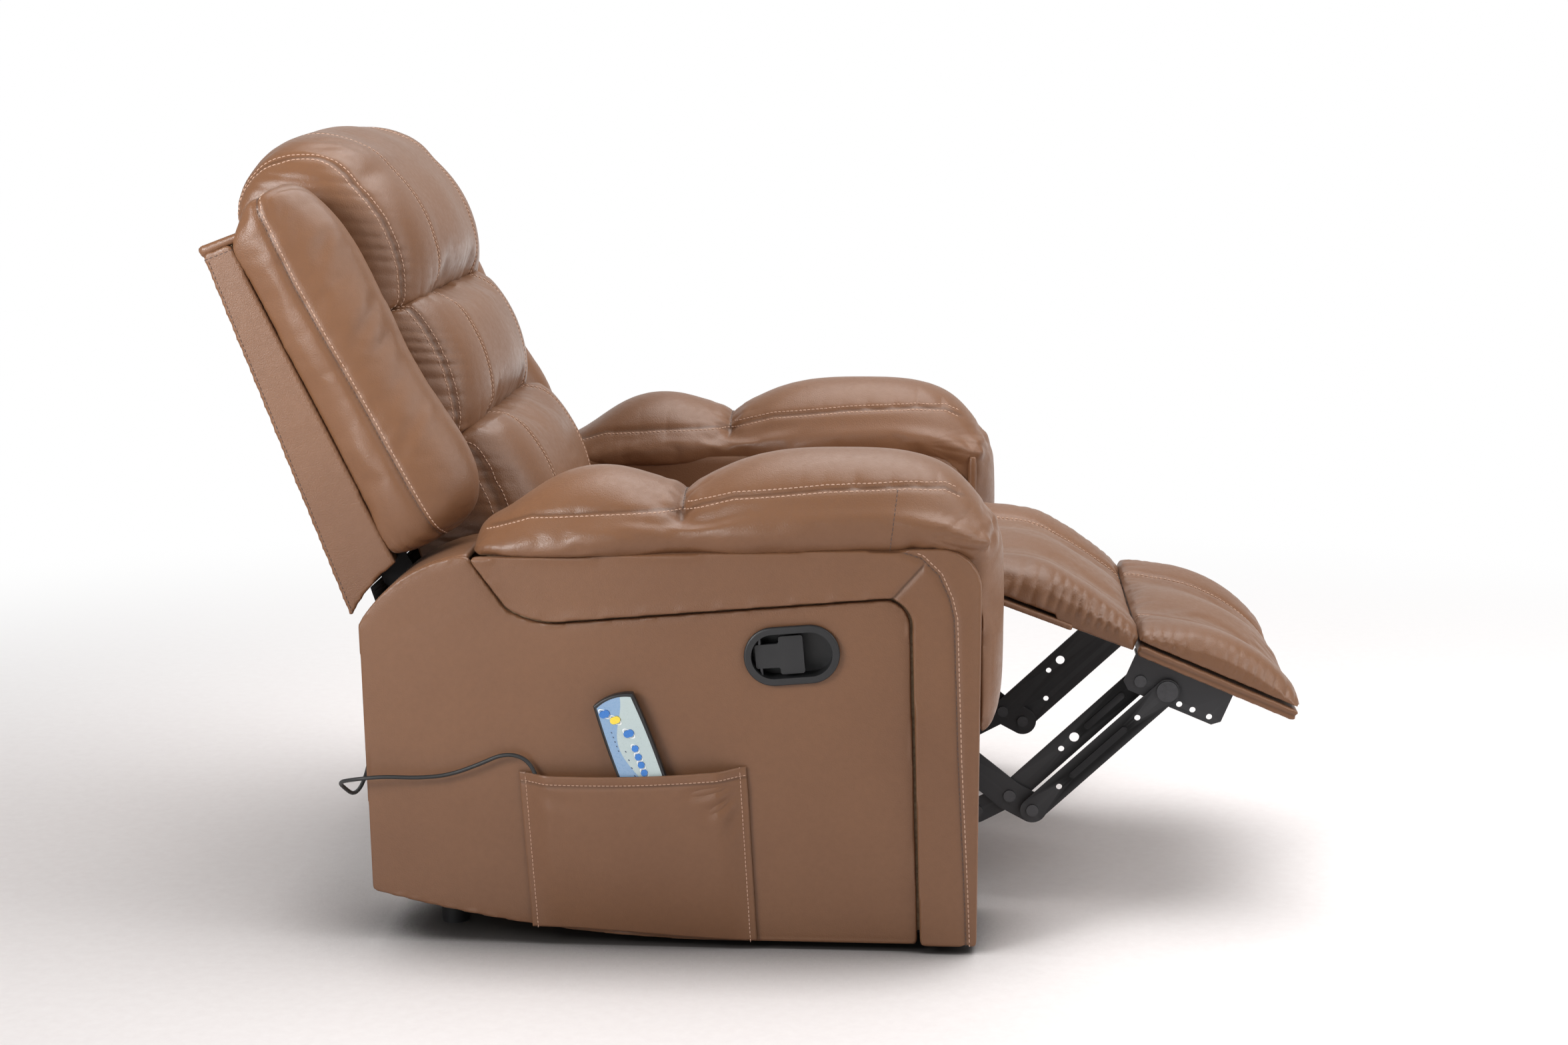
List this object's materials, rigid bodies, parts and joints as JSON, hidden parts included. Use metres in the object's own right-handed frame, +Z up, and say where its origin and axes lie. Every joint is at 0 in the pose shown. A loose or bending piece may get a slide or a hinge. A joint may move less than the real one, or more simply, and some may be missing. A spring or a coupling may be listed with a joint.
{
  "type": "massage recliner",
  "caption": "Upholstered massage recliner with pillow back and padded arms, lever-released folding footrest on steel links, side pocket and wired remote.",
  "frame": {"origin": "on the floor, below the middle of the overall box", "axes": "+X to the front of the chair, +Y to the sitter's left, +Z up"},
  "size_m": [1.3949, 0.9346, 1.0113],
  "materials": {
    "leather": "semi-matte grained leather with light top stitching",
    "wood": "plain plywood and softwood",
    "black_steel": "black powder coat",
    "bright_steel": "zinc plated",
    "black_plastic": "fine grained black plastic",
    "black_cloth": "black non-woven cloth",
    "webbing": "elastic webbing",
    "rubber": "soft black rubber",
    "overlay": "printed grey-green face sheet",
    "key_blue": "blue keys",
    "key_yellow": "yellow key"
  },
  "bodies": {
    "base": {"left_side_panel": "leather", "right_side_panel": "leather", "arm_borders": "leather", "arm_inners": "leather", "arm_frames": "wood", "arm_ends": "leather", "left_arm_pad": "leather", "right_arm_pad": "leather", "front_pads": "leather", "feet": "black_plastic", "cross_rails": "black_steel", "rear_cover": "black_cloth", "rear_skirt": "black_cloth", "control_box": "black_plastic", "seat_rails": "wood", "seat_springs": "bright_steel", "seat_cushion": "leather", "seat_motors": "black_plastic", "mechanism_plates": "black_steel", "pivot_pins": "bright_steel", "handle_bezel": "black_plastic", "release_cable": "rubber", "pocket": "leather", "cord_gland": "rubber", "remote_cord": "rubber"},
    "back": {"back_panels": "leather", "back_frame": "wood", "back_webbing": "webbing", "back_motors": "black_plastic", "heating_pad": "black_cloth", "lumbar_pillow": "leather", "middle_pillow": "leather", "headrest_pillow": "leather", "bolsters": "leather", "back_brackets": "black_steel"},
    "lift": {"lift_links": "black_steel", "lift_rivets": "bright_steel"},
    "upper": {"upper_links": "black_steel", "upper_rivets": "bright_steel"},
    "lower": {"lower_links": "black_steel"},
    "idler": {"idlers": "black_steel"},
    "footrest": {"footrest_brackets": "black_steel", "footrest_rivets": "bright_steel", "footrest_board": "leather", "footrest_pad": "leather", "footrest_motors": "black_plastic"},
    "calf": {"calf_board": "leather", "calf_pad": "leather"},
    "paddle": {"handle_paddle": "black_plastic"},
    "latch": {"release_latch": "black_steel"},
    "remote": {"remote_shells": "black_plastic", "remote_face": "overlay", "cord_plug": "rubber"},
    "key_1": {"remote_key_1": "key_blue"},
    "key_2": {"remote_key_2": "key_yellow"},
    "key_3": {"remote_key_3": "key_blue"},
    "key_4": {"remote_key_4": "key_blue"},
    "key_5": {"remote_key_5": "key_blue"},
    "key_6": {"remote_key_6": "key_blue"},
    "key_7": {"remote_key_7": "key_blue"}
  },
  "joints": [
    {"name": "back_recline", "type": "hinge", "parent": "base", "child": "back", "pos_m": [-0.344, 0, 0.319], "axis": [0, -1, 0], "range_deg": [0, 36], "deforming": ["rear_skirt"]},
    {"name": "footrest_fold", "type": "hinge", "parent": "base", "child": "lift", "pos_m": [0.1504, 0, 0.2754], "axis": [0, 1, 0], "range_deg": [0, 80.56], "deforming": ["calf_pad"]},
    {"name": "upper_link_turn", "type": "hinge", "parent": "lift", "child": "upper", "pos_m": [0.317, 0, 0.143], "axis": [0, 1, 0], "range_deg": [-82.44, 0]},
    {"name": "lower_link_turn", "type": "hinge", "parent": "lift", "child": "lower", "pos_m": [0.347, 0, 0.127], "axis": [0, 1, 0], "range_deg": [-79.54, 0]},
    {"name": "footrest_turn", "type": "hinge", "parent": "upper", "child": "footrest", "pos_m": [0.485, 0, 0.303], "axis": [0, 1, 0], "range_deg": [0, 69.6]},
    {"name": "idler_turn", "type": "hinge", "parent": "base", "child": "idler", "pos_m": [0.1069, 0, 0.2514], "axis": [0, 1, 0], "range_deg": [0, 80.58]},
    {"name": "calf_turn", "type": "hinge", "parent": "base", "child": "calf", "pos_m": [0.282, 0, 0.408], "axis": [0, 1, 0], "range_deg": [0, 70.05]},
    {"name": "handle_pull", "type": "hinge", "parent": "base", "child": "paddle", "pos_m": [0.00165, -0.441, 0.37761], "axis": [0.0858, 0, -0.9963], "range_deg": [0, 40], "stiffness_Nm_per_rad": 0.4, "springref_deg": -20.05},
    {"name": "latch_turn", "type": "hinge", "parent": "base", "child": "latch", "pos_m": [0.099, 0, 0.318], "axis": [0, 1, 0], "range_deg": [0, 12.05]},
    {"name": "remote_lift", "type": "slide", "parent": "base", "child": "remote", "axis": [-0.3371, 0, 0.9415], "range_m": [0, 0.085]},
    {"name": "key_1_press", "type": "slide", "parent": "remote", "child": "key_1", "axis": [0, 1, 0], "range_m": [0, 0.001], "stiffness_N_per_m": 400, "springref_m": -0.0008},
    {"name": "key_2_press", "type": "slide", "parent": "remote", "child": "key_2", "axis": [0, 1, 0], "range_m": [0, 0.001], "stiffness_N_per_m": 400, "springref_m": -0.0008},
    {"name": "key_3_press", "type": "slide", "parent": "remote", "child": "key_3", "axis": [0, 1, 0], "range_m": [0, 0.001], "stiffness_N_per_m": 400, "springref_m": -0.0008},
    {"name": "key_4_press", "type": "slide", "parent": "remote", "child": "key_4", "axis": [0, 1, 0], "range_m": [0, 0.001], "stiffness_N_per_m": 400, "springref_m": -0.0008},
    {"name": "key_5_press", "type": "slide", "parent": "remote", "child": "key_5", "axis": [0, 1, 0], "range_m": [0, 0.001], "stiffness_N_per_m": 400, "springref_m": -0.0008},
    {"name": "key_6_press", "type": "slide", "parent": "remote", "child": "key_6", "axis": [0, 1, 0], "range_m": [0, 0.001], "stiffness_N_per_m": 400, "springref_m": -0.0008},
    {"name": "key_7_press", "type": "slide", "parent": "remote", "child": "key_7", "axis": [0, 1, 0], "range_m": [0, 0.001], "stiffness_N_per_m": 400, "springref_m": -0.0008}
  ],
  "couplings": [
    {"joint": "upper_link_turn", "follows": "footrest_fold", "ratio": -1.0228},
    {"joint": "lower_link_turn", "follows": "footrest_fold", "ratio": -0.98678},
    {"joint": "footrest_turn", "follows": "footrest_fold", "ratio": 0.86338},
    {"joint": "idler_turn", "follows": "footrest_fold", "ratio": 0.99963},
    {"joint": "calf_turn", "follows": "footrest_fold", "ratio": 0.86896},
    {"joint": "latch_turn", "follows": "handle_pull", "ratio": 0.3}
  ]
}
